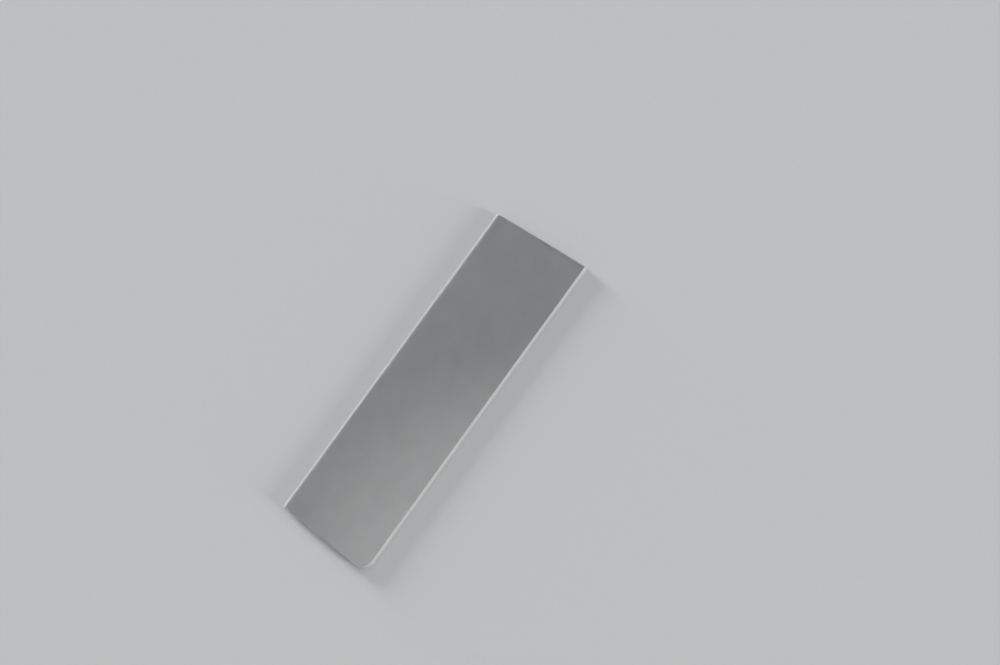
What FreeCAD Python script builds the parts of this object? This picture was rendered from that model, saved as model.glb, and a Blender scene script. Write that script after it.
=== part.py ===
"""Microscope slide: one plate of clear soda-lime glass with ground edges.

The model follows the order of the work. A blank is cut from sheet glass and its four sides are ground
flat. One corner is ground to a large round, and the other three only lose their needle points. Last,
the sharp rim of each face is ground off as a narrow 45 degree bevel.

Row frame, in millimetres: +X along the length, +Y across the width, +Z up through the thickness.
The origin is the middle of the underside, so the slide lies on the plane z = 0.
"""

import FreeCAD, Part

import os

# Driving dimensions, in millimetres
LENGTH = 76.2  # three inches
WIDTH = 25.4  # one inch
THICKNESS = 1.1  # the middle of the 1.0 to 1.2 mm grade
RIM_BEVEL = 0.15  # how far the bevel runs in across each face, and down each side
ROUNDED_CORNER = 3.2  # radius of the round at -X, -Y
FACE_CORNER = 0.15  # radius left on the faces at the other three corners, inside their bevels

# Derived: seen from above, a bevel stands outside the face's own corner.
DUBBED_CORNER = FACE_CORNER + RIM_BEVEL

NODE = "glass_slide"

# The radius of each corner, by the side of the plate that it is on in X and in Y
CORNERS = {
    (-1, -1): ROUNDED_CORNER,
    (1, -1): DUBBED_CORNER,
    (1, 1): DUBBED_CORNER,
    (-1, 1): DUBBED_CORNER,
}

SAME_PLACE = 1e-6  # two coordinates nearer than this are the same


def cut_blank():
    """The plain rectangle of sheet glass, centred on the origin and standing on z = 0."""
    low_corner = FreeCAD.Vector(-LENGTH / 2, -WIDTH / 2, 0)
    return Part.makeBox(LENGTH, WIDTH, THICKNESS, low_corner)


def upright_edge(plate, x_side, y_side):
    """The edge that stands at one square corner of the plate."""
    x = x_side * LENGTH / 2
    y = y_side * WIDTH / 2
    for edge in plate.Edges:
        if all(abs(end.X - x) + abs(end.Y - y) < SAME_PLACE for end in edge.Vertexes):
            return edge
    raise ValueError(f"no square corner at {x}, {y}")


def rim(plate, height):
    """The closed loop of edges round the face at this height."""
    return [
        edge
        for edge in plate.Edges
        if all(abs(end.Z - height) < SAME_PLACE for end in edge.Vertexes)
    ]


def grind(blank):
    """The finished slide: its corners rounded, then both of its rims bevelled."""
    plate = blank
    for (x_side, y_side), radius in CORNERS.items():
        plate = plate.makeFillet(radius, [upright_edge(plate, x_side, y_side)])
    return plate.makeChamfer(RIM_BEVEL, rim(plate, 0) + rim(plate, THICKNESS))


os.makedirs("parts", exist_ok=True)
slide = grind(cut_blank())
slide.exportStep(os.path.join("parts", NODE + ".step"))

box = slide.BoundBox
print(f"{NODE}: {box.XLength:.2f} x {box.YLength:.2f} x {box.ZLength:.2f} mm")
print(f"{len(slide.Solids)} solid, valid {slide.isValid()}, {slide.Volume:.2f} mm3")
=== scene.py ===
# %% [markdown]
# A microscope slide is one plate of clear glass, three inches long and one inch wide. Its two faces are
# polished and its four sides are ground, so its whole look is in three things: what the faces mirror,
# what the plate lets through, and how the frosted sides catch the light. The frame comes first, because
# every size below comes from it.

# %% Load the frame
import math
import random

import bpy
from mathutils import Matrix, Vector


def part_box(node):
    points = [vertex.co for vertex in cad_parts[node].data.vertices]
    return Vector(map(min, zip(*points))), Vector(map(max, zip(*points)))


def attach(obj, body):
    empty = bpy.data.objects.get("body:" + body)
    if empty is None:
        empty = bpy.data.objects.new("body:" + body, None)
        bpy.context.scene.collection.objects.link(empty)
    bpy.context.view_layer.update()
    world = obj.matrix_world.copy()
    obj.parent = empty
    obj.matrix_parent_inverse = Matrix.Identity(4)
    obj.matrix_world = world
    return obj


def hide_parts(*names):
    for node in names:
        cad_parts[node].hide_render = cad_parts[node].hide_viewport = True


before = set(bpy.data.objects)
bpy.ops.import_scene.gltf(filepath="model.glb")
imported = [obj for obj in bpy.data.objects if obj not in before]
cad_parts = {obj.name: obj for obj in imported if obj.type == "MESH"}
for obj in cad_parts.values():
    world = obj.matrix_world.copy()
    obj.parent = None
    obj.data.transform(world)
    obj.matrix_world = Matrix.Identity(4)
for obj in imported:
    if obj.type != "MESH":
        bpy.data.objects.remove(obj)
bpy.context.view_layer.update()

# %% [markdown]
# The CAD solid already holds the sizes that matter: the plate, the bevel round both faces, the large
# round at one corner and the small ones at the other three. They could be typed in again here, but then
# two files would have to agree. So they are measured on the solid's own mesh. The points that lie on one
# ground end show where its corners begin, and the points of the upper face show how far the bevel runs in.

# %% Measure the CAD solid
MM = 0.001  # one millimetre in Blender's metres
SAME_PLACE = 0.001 * MM  # two coordinates nearer than this are the same

plate_low, plate_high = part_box("glass_slide")
length, width, thickness = plate_high - plate_low
cad_points = [vertex.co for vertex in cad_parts["glass_slide"].data.vertices]
end_points = [point for point in cad_points if point.x - plate_low.x < SAME_PLACE]
face_points = [point for point in cad_points if plate_high.z - point.z < SAME_PLACE]

rounded_radius = min(point.y for point in end_points) - plate_low.y
dubbed_radius = plate_high.y - max(point.y for point in end_points)
bevel = plate_high.x - max(point.x for point in face_points)
print(f"plate {length / MM:.1f} x {width / MM:.1f} x {thickness / MM:.2f} mm, bevel {bevel / MM:.2f} mm")
print(f"corners: one of radius {rounded_radius / MM:.2f} mm, three of {dubbed_radius / MM:.2f} mm")

# %% [markdown]
# Two small helpers serve every material. Colours are written as sRGB hex values, as a paint chart gives
# them, while Blender mixes linear light, so one function turns one into the other. The second adds a
# shader node with its settings and its links in one call. Each input is named, or numbered as _0, _1 for
# nodes that have several inputs of one name, and is either a plain value or another node's output.


# %% Helpers for colours and nodes
def linear(hex_colour):
    """An sRGB hex colour such as "#BFC1C3" as linear red, green and blue, with an alpha of 1."""
    channels = [int(hex_colour[start : start + 2], 16) / 255 for start in (1, 3, 5)]
    curve = [c / 12.92 if c <= 0.04045 else ((c + 0.055) / 1.055) ** 2.4 for c in channels]
    return (*curve, 1.0)


def add_node(tree, kind, settings=None, **inputs):
    """Adds a shader node and returns it. settings are its properties, inputs its values or links."""
    node = tree.nodes.new("ShaderNode" + kind)
    for name, value in (settings or {}).items():
        setattr(node, name, value)
    for name, value in inputs.items():
        key = int(name[1:]) if name[1:].isdigit() else name.replace("_", " ")
        if isinstance(value, bpy.types.NodeSocket):
            tree.links.new(value, node.inputs[key])
        else:
            node.inputs[key].default_value = value
    return node


print(f"#808080 is {linear('#808080')[0]:.3f} of white in linear light")

# %% [markdown]
# The camera looks down on the slide over its long side, and is turned about its own line of sight, so
# that the slide runs from low on the left to high on the right. It aims a little past the slide's
# middle, which leaves free space on the right. A lens of about 58 mm from a third of a metre away lets
# the far end look only slightly narrower than the near one. The direction is built from its azimuth and
# elevation, and the roll then turns "up" towards "right", so no constraint or empty is needed.

# %% The camera
CAMERA_LENS = 57.52
CAMERA_AZIMUTH = math.radians(-7.24)
CAMERA_ELEVATION = math.radians(57.90)
CAMERA_ROLL = math.radians(47.87)
CAMERA_DISTANCE = 326.6 * MM
NEAREST_SEEN = 1 * MM
camera_aim = Vector((17.27 * MM, -5.38 * MM, plate_high.z))

backward = Vector(
    (
        math.sin(CAMERA_AZIMUTH) * math.cos(CAMERA_ELEVATION),
        -math.cos(CAMERA_AZIMUTH) * math.cos(CAMERA_ELEVATION),
        math.sin(CAMERA_ELEVATION),
    )
)
level_right = Vector((0, 0, 1)).cross(backward).normalized()
level_up = backward.cross(level_right)
camera_up = level_up * math.cos(CAMERA_ROLL) + level_right * math.sin(CAMERA_ROLL)
camera_right = camera_up.cross(backward)

camera_data = bpy.data.cameras.new("camera")
camera_data.lens = CAMERA_LENS
camera_data.clip_start = NEAREST_SEEN
camera = bpy.data.objects.new("camera", camera_data)
camera.location = camera_aim + backward * CAMERA_DISTANCE
camera.rotation_mode = "QUATERNION"
camera.rotation_quaternion = Matrix((camera_right, camera_up, backward)).transposed().to_quaternion()
bpy.context.scene.collection.objects.link(camera)
bpy.context.scene.camera = camera
print(f"camera at {[round(part / MM, 1) for part in camera.location]} mm")

# %% [markdown]
# Clear glass has hardly any colour of its own, so what it lies on sets its tone. A pale grey sheet of
# matte card works well: the frosted sides are whiter than it, and the plate a little darker. The card is
# modelled as one large flat face that reaches far out of the camera's view. It lies two hundredths of a
# millimetre below the slide, for the air under a real slide, because two faces in the same place would
# flicker and would join the glass to the card.

# %% The floor
FLOOR_HALF = 3.0
AIR_GAP = 0.02 * MM
CARD_GREY = "#D4D5D6"
CARD_ROUGHNESS = 0.9
CARD_SHINE = 0.1
CORNER_SIDES = [(-1, -1), (1, -1), (1, 1), (-1, 1)]  # a rectangle's corners in X and Y, anticlockwise

floor_z = plate_low.z - AIR_GAP
floor_mesh = bpy.data.meshes.new("floor")
floor_points = [(x * FLOOR_HALF, y * FLOOR_HALF, floor_z) for x, y in CORNER_SIDES]
floor_mesh.from_pydata(floor_points, [], [(0, 1, 2, 3)])
floor = bpy.data.objects.new("floor", floor_mesh)
bpy.context.scene.collection.objects.link(floor)

card = bpy.data.materials.new("uncoated_grey_card")
card.use_nodes = True
card.node_tree.nodes.clear()
card_surface = add_node(
    card.node_tree,
    "BsdfPrincipled",
    Base_Color=linear(CARD_GREY),
    Roughness=CARD_ROUGHNESS,
    Specular_IOR_Level=CARD_SHINE,
)
add_node(card.node_tree, "OutputMaterial", Surface=card_surface.outputs[0])
floor.data.materials.append(card)
print(f"floor {2 * FLOOR_HALF:.0f} m square, {AIR_GAP / MM:.2f} mm under the slide")

# %% [markdown]
# Light on glass is mostly what the glass mirrors. A bare grey world would leave the face as flat as paper.
# So the room is a plain grey all round, with three soft round patches in it, as cards and a small lamp are
# hung round a glass in a studio. A black card hangs high on the left. The bevel of the near end looks up
# at it and stays darker than the face. A dark wall behind the slide is mirrored by most of the face, as
# seen from the camera, and deepens it. A small soft lamp hangs just above that wall. Its mirrored edge
# falls along the slide, so the near end shines more towards the long side in front. The patches are made
# in the world itself: the cosine between a direction and the middle of a patch, spread into a soft edge.

# %% The room
ROOM_GREY = "#C8C9CA"
WHITE = "#FFFFFF"
LAMP_BRIGHTNESS = 1.95  # times as bright as white paper in this room

# Where each patch hangs as azimuth and elevation, the radii of its inner and outer edge, in degrees,
# its colour, and how many times brighter than that colour it is
ROOM_PATCHES = [
    ("black_card", -92, 55, 15, 36, "#424446", 1.0),
    ("dark_wall", 0, 50, 10, 22, "#5C5E60", 1.0),
    ("soft_lamp", -12, 66, 4, 12, WHITE, LAMP_BRIGHTNESS),
]


def direction_to(azimuth, elevation):
    """The direction with this azimuth and elevation in degrees. Azimuth 0 is towards +Y, 90 towards +X."""
    turn, rise = math.radians(azimuth), math.radians(elevation)
    return Vector((math.sin(turn) * math.cos(rise), math.cos(turn) * math.cos(rise), math.sin(rise)))


world = bpy.data.worlds.new("studio")
bpy.context.scene.world = world
world.use_nodes = True
tree = world.node_tree
tree.nodes.clear()
looking = add_node(tree, "TexCoord").outputs["Generated"]
seen = linear(ROOM_GREY)
for name, azimuth, elevation, inner, outer, hex_colour, brightness in ROOM_PATCHES:
    towards = direction_to(azimuth, elevation)
    cosine = add_node(tree, "VectorMath", {"operation": "DOT_PRODUCT"}, _0=looking, _1=towards)
    patch = add_node(
        tree,
        "MapRange",
        {"interpolation_type": "SMOOTHSTEP"},
        Value=cosine.outputs["Value"],
        From_Min=math.cos(math.radians(outer)),
        From_Max=math.cos(math.radians(inner)),
    )
    # A Mix node of colours takes its factor at input 0 and its two colours at inputs 6 and 7.
    colour = [brightness * part for part in linear(hex_colour)]
    seen = add_node(tree, "Mix", {"data_type": "RGBA"}, _0=patch.outputs[0], _6=seen, _7=colour).outputs[2]
    print(f"{name}: {outer} degrees in radius, {elevation} above the floor")
background = add_node(tree, "Background", Color=seen)
add_node(tree, "OutputWorld", Surface=background.outputs[0])

# %% [markdown]
# Frosted glass is seen by light that strikes it from the side. So two large round soft boxes stand a long
# way off, one for each long side. The one in front lights the near long side from outside. The one behind
# lights the far long side through its frosting, which is then seen glowing through the upper face. They
# stand only seven degrees up, so most of their light glances off the polished face and doesn't reach the
# card under it. That is why a clear plate on a pale card looks grey. Area lamps near the slide could do
# this, but they burn out the card beside them, and a lamp of the Sun kind lights all of it evenly. Its
# wide disc gives the soft shadow. A white block mirrored by the face would hide the glass, so the lamps are
# kept out of mirror images and out of what is seen through the plate, as a polarising filter does it.

# %% Two far soft boxes
LAMP_ELEVATION = 7
LAMP_SPREAD = 14  # how wide the disc looks from the slide, in degrees


def far_box(name, azimuth, strength):
    """A wide, round lamp a long way off, at this azimuth in degrees, with its strength in W/m2."""
    data = bpy.data.lights.new(name, "SUN")
    data.angle = math.radians(LAMP_SPREAD)
    data.energy = strength
    lamp = bpy.data.objects.new(name, data)
    lamp.rotation_mode = "QUATERNION"
    lamp.rotation_quaternion = direction_to(azimuth, LAMP_ELEVATION).to_track_quat("Z", "Y")
    lamp.visible_glossy = False
    lamp.visible_transmission = False
    bpy.context.scene.collection.objects.link(lamp)
    on_card = strength * math.sin(math.radians(LAMP_ELEVATION))
    print(f"{name}: {strength} W/m2, of which the card gets {on_card:.2f}")


far_box("box_behind", 8, 4.3)
far_box("box_in_front", 172, 3.0)

# %% [markdown]
# The plate itself. It could be a box with Blender's bevel modifier, but a ground side isn't that even:
# the bevels are worked by hand against a wheel, so their width wanders by about a hundredth of a
# millimetre, and here and there a shell-shaped chip has left the arris. So the outline is walked once
# round in steps of a tenth of a millimetre, and a profile of the ground side is set up at each step.
# The walk goes over four arcs and the four straights between them.

# %% Walk round the outline
STATION_STEP = 0.1 * MM
LEAST_ARC_STEPS = 6
QUARTER_TURN = math.pi / 2

corner_radii = [rounded_radius, dubbed_radius, dubbed_radius, dubbed_radius]
middle = (plate_low + plate_high) / 2


def corner_centre(turn):
    """The centre of a corner's arc, counted round from -X, -Y."""
    x_side, y_side = CORNER_SIDES[turn]
    inset = corner_radii[turn]
    return Vector((middle.x + x_side * (length / 2 - inset), middle.y + y_side * (width / 2 - inset)))


def walk_outline():
    """Stations round the plate, each its place and its outward direction, both seen from above."""
    for turn, radius in enumerate(corner_radii):
        following = (turn + 1) % len(corner_radii)
        first_angle = math.pi + turn * QUARTER_TURN
        steps = max(LEAST_ARC_STEPS, round(radius * QUARTER_TURN / STATION_STEP))
        for step in range(steps):
            angle = first_angle + QUARTER_TURN * step / steps
            outward = Vector((math.cos(angle), math.sin(angle)))
            yield corner_centre(turn) + outward * radius, outward
        last_angle = first_angle + QUARTER_TURN
        outward = Vector((math.cos(last_angle), math.sin(last_angle)))
        start = corner_centre(turn) + outward * radius
        end = corner_centre(following) + outward * corner_radii[following]
        steps = round((end - start).length / STATION_STEP)
        for step in range(steps):
            yield start.lerp(end, step / steps), outward


stations = list(walk_outline())
walked = [0.0]
for (here, _), (there, _) in zip(stations, stations[1:] + stations[:1]):
    walked.append(walked[-1] + (there - here).length)
perimeter = walked[-1]
print(f"{len(stations)} stations in {perimeter / MM:.1f} mm")

# %% [markdown]
# What the hand adds is a slow wave and a few accidents. The wave is a sum of sines whose periods divide
# the outline a whole number of times, so it closes on itself with no seam. A chip is a shallow scoop
# with a rounded plan: it widens the bevel over a few tenths of a millimetre. Their places are drawn from
# a seeded generator, so every run of this script gives the same slide.

# %% The bevel's wander and the chips
WANDER_SHARE = 0.06  # how far the bevel's width strays, as a share of it
WAVES = [(11, 0.4), (37, 0.3), (101, 0.2), (263, 0.1)]  # waves in the whole outline, and their shares
CHIPS_PER_RIM = 7
CHIP_HALF_LENGTH = (0.10 * MM, 0.22 * MM)
CHIP_DEPTH = (0.02 * MM, 0.07 * MM)


def rim_widths(seed):
    """For each station, the bevel's width there and the share of it that is a chip."""
    dice = random.Random(seed)
    waves = [(turns, share, dice.uniform(0, math.tau)) for turns, share in WAVES]
    chips = [
        (dice.uniform(0, perimeter), dice.uniform(*CHIP_HALF_LENGTH), dice.uniform(*CHIP_DEPTH))
        for _ in range(CHIPS_PER_RIM)
    ]
    widths = []
    for along in walked[:-1]:
        once_round = math.tau * along / perimeter
        wave = sum(share * math.sin(turns * once_round + phase) for turns, share, phase in waves)
        scoops = [
            depth * math.sqrt(1 - ((along - place) / half) ** 2)
            for place, half, depth in chips
            if abs(along - place) < half
        ]
        chip = max(scoops, default=0.0)
        widths.append((bevel * (1 + WANDER_SHARE * wave) + chip, chip))
    return widths


lower_rim = rim_widths(seed=5)
upper_rim = rim_widths(seed=8)
print(f"upper bevel {min(upper_rim)[0] / MM:.3f} to {max(upper_rim)[0] / MM:.3f} mm wide, chips included")

# %% [markdown]
# The profile of the ground side has three parts: the lower bevel, the upright land and the upper bevel.
# A bevel that is ground by hand is a little full in the middle, and a chip is hollow there, so each
# bevel has one more row of points that can stand out or sink in. The two polished faces are each one
# flat face inside their rim. Every point stays inside the CAD solid's box, and the land reaches its
# four sides, so the finished plate measures exactly what the solid does.

# %% The profile of the ground side
BEVEL_CROWN = 0.10  # how far a bevel stands out in the middle, as a share of its width
CHIP_HOLLOW = 0.60  # how far a chip sinks there, as a share of its depth
LAND_ROWS = 4
BEVEL_ROWS = 2  # a bevel's rim and its middle; its other side is the land's own first or last row
ROWS = LAND_ROWS + 2 * BEVEL_ROWS


def side_profile(lower, upper):
    """Rows up the ground side, each how far in from the outline it lies and how high it is."""
    low, low_chip = lower
    high, high_chip = upper
    low_middle = low * (0.5 - BEVEL_CROWN) + low_chip * CHIP_HOLLOW
    high_middle = high * (0.5 - BEVEL_CROWN) + high_chip * CHIP_HOLLOW
    rows = [(low, 0.0), (low_middle, low_middle)]
    for row in range(LAND_ROWS):
        share = row / (LAND_ROWS - 1)
        rows.append((0.0, low + share * (thickness - high - low)))
    rows.append((high_middle, thickness - high_middle))
    rows.append((high, thickness))
    return rows


print(f"{ROWS} rows of points up the ground side, {len(stations) * ROWS} points in all")

# %% [markdown]
# The mesh is written out as points and faces. Three things ride along with it. A number on each face,
# "ground", is 1 on the frosted sides and 0 on the polished faces, and one glass material reads it. Two
# materials would be easier to read, but a ray that enters glass through one and leaves through another
# would lose track of the glass that it is in. A second number says how white the frosting is painted. It
# is 1 along the long sides and less on the two ends, and it changes gradually round the corners. The less
# white ends are painted shade, which darkens the two ends. The third is "edge_run", the distance round
# the slide and the distance up the profile, in metres, so that grinding marks can follow the edge round
# its corners. There is also a map for baking, which gives the narrow sides far more room than their
# true share.
#
# A polished face could be one polygon with two thousand corners, but cut into triangles it gives slivers
# along its rim. So each face has a line of points down its middle, and every step of the rim is joined to
# the nearest of them: plain narrow wedges along the sides, and a fan round each end.

# %% Points and faces of the plate
SPINE_STEP = 1.0 * MM

spine_start = plate_low.x + width / 2
spine_count = round((length - width) / SPINE_STEP) + 1
spine_gap = (length - width) / (spine_count - 1)


def plate_points():
    """Every point of the plate, and for those of the ground side how far up the profile each lies."""
    points, heights = [], []
    for (place, outward), lower, upper in zip(stations, lower_rim, upper_rim):
        climbed = 0.0
        last = None
        for inset, up in side_profile(lower, upper):
            climbed += math.dist(last, (inset, up)) if last else 0.0
            last = (inset, up)
            flat = place - outward * inset
            points.append((flat.x, flat.y, plate_low.z + up))
            heights.append(climbed)
    for z in (plate_low.z, plate_high.z):
        points += [(spine_start + step * spine_gap, middle.y, z) for step in range(spine_count)]
    return points, heights


def ground_side():
    """The polygons of the ground side, from the lower rim to the upper one at each station."""
    for here in range(len(stations)):
        there = (here + 1) % len(stations)
        for row in range(ROWS - 1):
            low_here, low_there = here * ROWS + row, there * ROWS + row
            yield [low_here, low_there, low_there + 1, low_here + 1]


def nearest_spine(station):
    """Which point of a face's middle line lies nearest to this station."""
    along = (stations[station][0].x - spine_start) / spine_gap
    return min(max(round(along), 0), spine_count - 1)


def polished_face(row, first_spine):
    """The polygons of one polished face, wound anticlockwise as seen from above."""
    for here in range(len(stations)):
        there = (here + 1) % len(stations)
        inner = [first_spine + nearest_spine(there), first_spine + nearest_spine(here)]
        yield [here * ROWS + row, there * ROWS + row, *dict.fromkeys(inner)]


points, heights = plate_points()
side = list(ground_side())
lower_face = [polygon[::-1] for polygon in polished_face(0, len(stations) * ROWS)]
upper_face = list(polished_face(ROWS - 1, len(stations) * ROWS + spine_count))
mesh = bpy.data.meshes.new("ground_edge_slide")
mesh.from_pydata(points, [], side + lower_face + upper_face)
print(f"{len(side)} faces on the ground side, {len(lower_face)} on each polished face")

# %% What rides along with the mesh
# The two ends are painted less white than the long sides: a painted shade that darkens them.
END_FROST_PAINTED_SHADE = 0.5  # how white the frosting of the two ends is, as a share of that of the long sides
BANDS = 3  # the sides lie in this many bands of the baking map, one above the other
BAND_HEIGHT = 0.07
BAND_USED_ALONG = 0.99  # how much of a band is used each way, so that no two bands touch
BAND_USED_UP = 0.85
MARGIN = 0.02
LOWER_FACE_FOOT = 0.26  # where each polished face starts in the map, above the bands
UPPER_FACE_FOOT = 0.62
FACE_SCALE = (1 - 2 * MARGIN) / length

ground = mesh.attributes.new("ground", "FLOAT", "FACE")
# How white the frosting is, painted less white on the two ends as painted shade.
frost_and_painted_end_shade = mesh.attributes.new("frost_and_painted_end_shade", "FLOAT", "FACE")
edge_run = mesh.attributes.new("edge_run", "FLOAT_VECTOR", "CORNER")
baking = mesh.uv_layers.new(name="OFBake")


def mark_side(polygon):
    """Gives a face of the ground side its frosting, its run along the edge and its place in the map."""
    station = polygon.index // (ROWS - 1)
    band = min(int(walked[station] / perimeter * BANDS), BANDS - 1)
    towards_end = stations[station][1].x ** 2
    ground.data[polygon.index].value = 1.0
    # Towards the two ends the frosting is painted less white, as painted shade.
    frost_and_painted_end_shade.data[polygon.index].value = 1 - (1 - END_FROST_PAINTED_SHADE) * towards_end
    for corner in polygon.loop_indices:
        point = mesh.loops[corner].vertex_index
        step = station if point // ROWS == station else station + 1
        along, climbed = walked[step], heights[point]
        edge_run.data[corner].vector = (along, climbed, 0.0)
        u = MARGIN + (1 - 2 * MARGIN) * (along / perimeter * BANDS - band) * BAND_USED_ALONG
        v = MARGIN + (band + BAND_USED_UP * climbed / (thickness + bevel)) * BAND_HEIGHT
        baking.data[corner].uv = (u, v)


def lay_face(polygon, foot):
    """Lays a polygon of a polished face flat in the map, starting at this height."""
    for corner in polygon.loop_indices:
        x, y, _ = points[mesh.loops[corner].vertex_index]
        u = MARGIN + (x - plate_low.x) * FACE_SCALE
        v = foot + (y - plate_low.y) * FACE_SCALE
        baking.data[corner].uv = (u, v)


for polygon in mesh.polygons:
    if polygon.index < len(side):
        mark_side(polygon)
    elif polygon.index < len(side) + len(lower_face):
        lay_face(polygon, LOWER_FACE_FOOT)
    else:
        lay_face(polygon, UPPER_FACE_FOOT)
print(f"frosting from {END_FROST_PAINTED_SHADE} on the ends to 1 on the long sides, map in {BANDS} bands and 2 faces")

# %% The slide itself
SHARP_ANGLE = math.radians(25)  # edges that turn more than this stay crisp

for polygon in mesh.polygons:
    polygon.use_smooth = True
mesh.set_sharp_from_angle(angle=SHARP_ANGLE)
mesh.validate()
slide = bpy.data.objects.new("ground_edge_slide", mesh)
bpy.context.scene.collection.objects.link(slide)
print(f"{len(mesh.vertices)} points, {len(mesh.polygons)} faces")

# %% [markdown]
# The glass is soda-lime, the glass of windows and jars, drawn as sheet, cut, ground and washed. Its
# index is 1.52. Looked through, a millimetre of it has no colour that the eye can see. Looked into from
# the end, along seventy millimetres, it is grey-green, because traces of iron take out red. That is
# absorption by distance, so it is set in the volume and not painted on the surface. The density and the
# colour give about 17 per metre in red, 5 in green and 8 in blue, more than window glass has, because the
# frosted sides here scatter the light out before it has gone the whole length.
#
# The frosting is a surface of tiny broken facets. It still lets light through, scattered widely, and the
# cracks under it throw some back white. So on the ground faces the roughness is high, about half of the
# transmission turns into plain white scattering, and a translucent share lets a lamp behind the edge
# glow through it. Both shares follow the frosting number of the mesh, which is smaller on the two ends,
# so the ends let more of the dark, green inside of the plate show: a painted shade that darkens the ends.
# The white is a trace warm, which the green of the glass turns neutral. Grinding marks run along the
# edge. Real scratches of a 400 grit wheel are about 0.03 mm apart, too fine to show, so they are drawn
# about 0.1 mm apart.
#
# The polished faces aren't perfectly clean either. A washed and wiped slide keeps a thin film, which
# dims what is behind it a little all over, and a little more in soft patches some millimetres across. It
# too is a trace warm, so that the plate as a whole looks a neutral grey.

# %% The glass, and the patterns on it
MARK_SPACING = 0.1 * MM
MARK_LENGTH = 1.5 * MM
GRAIN_SIZE = 0.35 * MM
FILM_PATCH = 5 * MM
FILM_STARTS = 0.40  # the film grows from nothing to full between these two values of its noise
FILM_FULL = 0.72

glass = bpy.data.materials.new("soda_lime_sheet_glass_ground_sides")
glass.use_nodes = True
tree = glass.node_tree
tree.nodes.clear()

ground = add_node(tree, "Attribute", {"attribute_name": "ground"}).outputs["Fac"]
# The frosting number paints the two ends less white: painted shade.
frost_and_painted_end_shade = add_node(tree, "Attribute", {"attribute_name": "frost_and_painted_end_shade"}).outputs["Fac"]
edge_run = add_node(tree, "Attribute", {"attribute_name": "edge_run"}).outputs["Vector"]
run_in_marks = add_node(
    tree,
    "VectorMath",
    {"operation": "MULTIPLY"},
    _0=edge_run,
    _1=(1 / MARK_LENGTH, 1 / MARK_SPACING, 0.0),
)
marks = add_node(tree, "TexNoise", Vector=run_in_marks.outputs[0], Scale=1.0, Detail=3.0).outputs[0]
place = add_node(tree, "TexCoord").outputs["Object"]
grain = add_node(tree, "TexNoise", Vector=place, Scale=1 / GRAIN_SIZE, Detail=2.0).outputs[0]
patches = add_node(tree, "TexNoise", Vector=place, Scale=1 / FILM_PATCH, Detail=4.0, Distortion=0.4)
film = add_node(
    tree,
    "MapRange",
    {"interpolation_type": "SMOOTHSTEP"},
    Value=patches.outputs[0],
    From_Min=FILM_STARTS,
    From_Max=FILM_FULL,
).outputs[0]
print(f"marks at {MARK_SPACING / MM:.1f} mm, grain {GRAIN_SIZE / MM:.2f} mm, film {FILM_PATCH / MM:.0f} mm")

# %% Roughness: hardly any on the faces, high on the ground sides
FILM_ROUGHNESS = 0.01
FROST_ROUGHNESS = 0.60
FROST_ROUGHNESS_SPREAD = 0.12

face_roughness = add_node(tree, "Math", {"operation": "MULTIPLY"}, _0=film, _1=FILM_ROUGHNESS).outputs[0]
frost_roughness = add_node(
    tree,
    "MapRange",
    Value=marks,
    To_Min=FROST_ROUGHNESS - FROST_ROUGHNESS_SPREAD,
    To_Max=FROST_ROUGHNESS + FROST_ROUGHNESS_SPREAD,
).outputs[0]
# A Mix node of numbers takes its factor at input 0 and its two numbers at inputs 2 and 3.
roughness = add_node(
    tree, "Mix", {"data_type": "FLOAT"}, _0=ground, _2=face_roughness, _3=frost_roughness
).outputs[0]
print(f"roughness up to {FILM_ROUGHNESS} on the faces, about {FROST_ROUGHNESS} on the ground sides")

# %% White scattering: none on the faces, in fine grain on the ground sides
FROST_WHITE_SHARE = 0.48
FROST_WHITE_SPREAD = 0.06

frost_share = add_node(
    tree,
    "MapRange",
    Value=grain,
    To_Min=FROST_WHITE_SHARE - FROST_WHITE_SPREAD,
    To_Max=FROST_WHITE_SHARE + FROST_WHITE_SPREAD,
).outputs[0]
# The white share is lower on the two ends, by the painted shade in the frosting number.
white_share = add_node(tree, "Math", {"operation": "MULTIPLY"}, _0=frost_and_painted_end_shade, _1=frost_share).outputs[0]
clear_share = add_node(tree, "Math", {"operation": "SUBTRACT"}, _0=1.0, _1=white_share).outputs[0]
print(f"{FROST_WHITE_SHARE:.0%} of the light is scattered white on the long sides")

# %% Colour: a faint film on the faces, a clean white on the ground sides
CLEAN_TINT = "#F1F0F0"
FILM_TINT = "#EDECEC"
FROST_WHITE = "#F4F2F1"

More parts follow.
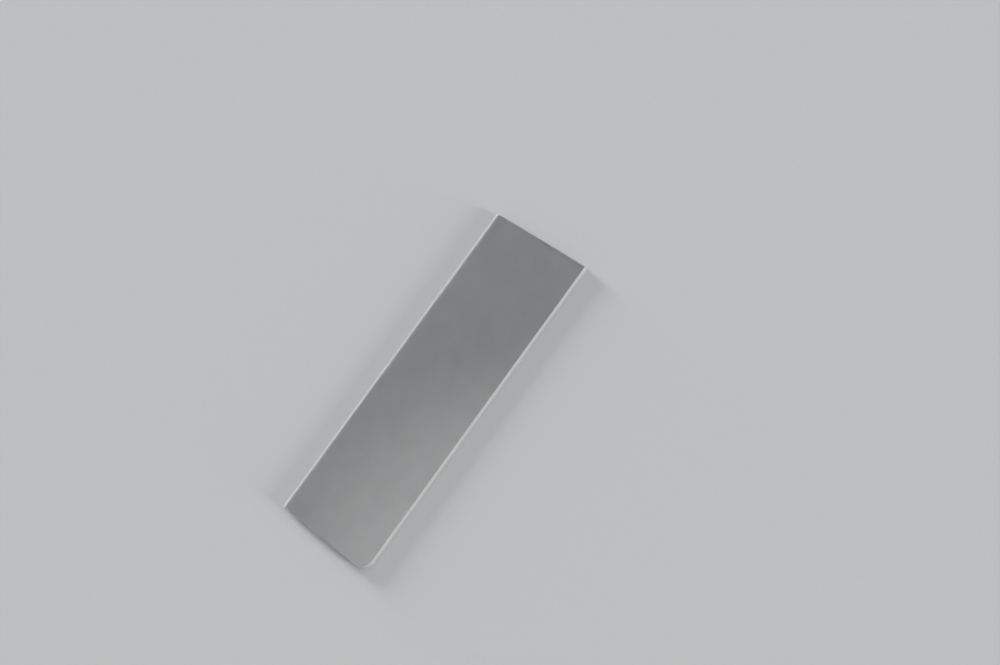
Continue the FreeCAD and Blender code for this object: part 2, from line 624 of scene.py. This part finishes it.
face_colour = add_node(
    tree, "Mix", {"data_type": "RGBA"}, _0=film, _6=linear(CLEAN_TINT), _7=linear(FILM_TINT)
).outputs[2]
colour = add_node(
    tree, "Mix", {"data_type": "RGBA"}, _0=ground, _6=face_colour, _7=linear(FROST_WHITE)
).outputs[2]
print(f"faces {CLEAN_TINT}, {FILM_TINT} where the film is thickest, ground sides {FROST_WHITE}")

# %% Grinding marks, and the finished shader
MARK_DEPTH = 0.01 * MM
FROST_THROUGH_SHARE = 0.28
GLASS_IOR = 1.52
IRON_TINT = "#69DEC8"
IRON_DENSITY = 20.0  # per metre

mark_height = add_node(tree, "Math", {"operation": "MULTIPLY"}, _0=marks, _1=ground).outputs[0]
marked = add_node(tree, "Bump", Height=mark_height, Distance=MARK_DEPTH, Strength=1.0).outputs[0]
surface = add_node(
    tree,
    "BsdfPrincipled",
    Base_Color=colour,
    Roughness=roughness,
    IOR=GLASS_IOR,
    Transmission_Weight=clear_share,
    Normal=marked,
)
inside = add_node(tree, "VolumeAbsorption", Color=linear(IRON_TINT), Density=IRON_DENSITY)
through = add_node(tree, "BsdfTranslucent", Color=linear(FROST_WHITE))
through_share = add_node(tree, "Math", {"operation": "MULTIPLY"}, _0=frost_and_painted_end_shade, _1=FROST_THROUGH_SHARE)
both = add_node(tree, "MixShader", _0=through_share.outputs[0], _1=surface.outputs[0], _2=through.outputs[0])
add_node(tree, "OutputMaterial", Surface=both.outputs[0], Volume=inside.outputs[0])
slide.data.materials.append(glass)
per_metre = [IRON_DENSITY * (1 - part) for part in linear(IRON_TINT)[:3]]
print(f"absorption per metre: {[round(part, 1) for part in per_metre]}")

# %% [markdown]
# The finished plate takes the place of the CAD solid, which stays hidden for collisions. Its one body
# is "root", because a slide has no joints.

# %% Join the plate to the frame
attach(slide, "root")
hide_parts("glass_slide")
print(f"{slide.name} stands for glass_slide on the body root")

# %% [markdown]
# Two settings of the scene. The Standard view shows colours as written. Filter Glossy is Cycles' way to
# save noise: after light has scattered once, it treats clear glass as rough. Here that would dim the
# card under the plate to half, so it is switched off.

# %% Finish
bpy.context.scene.view_settings.view_transform = "Standard"
bpy.context.scene.cycles.blur_glossy = 0.0
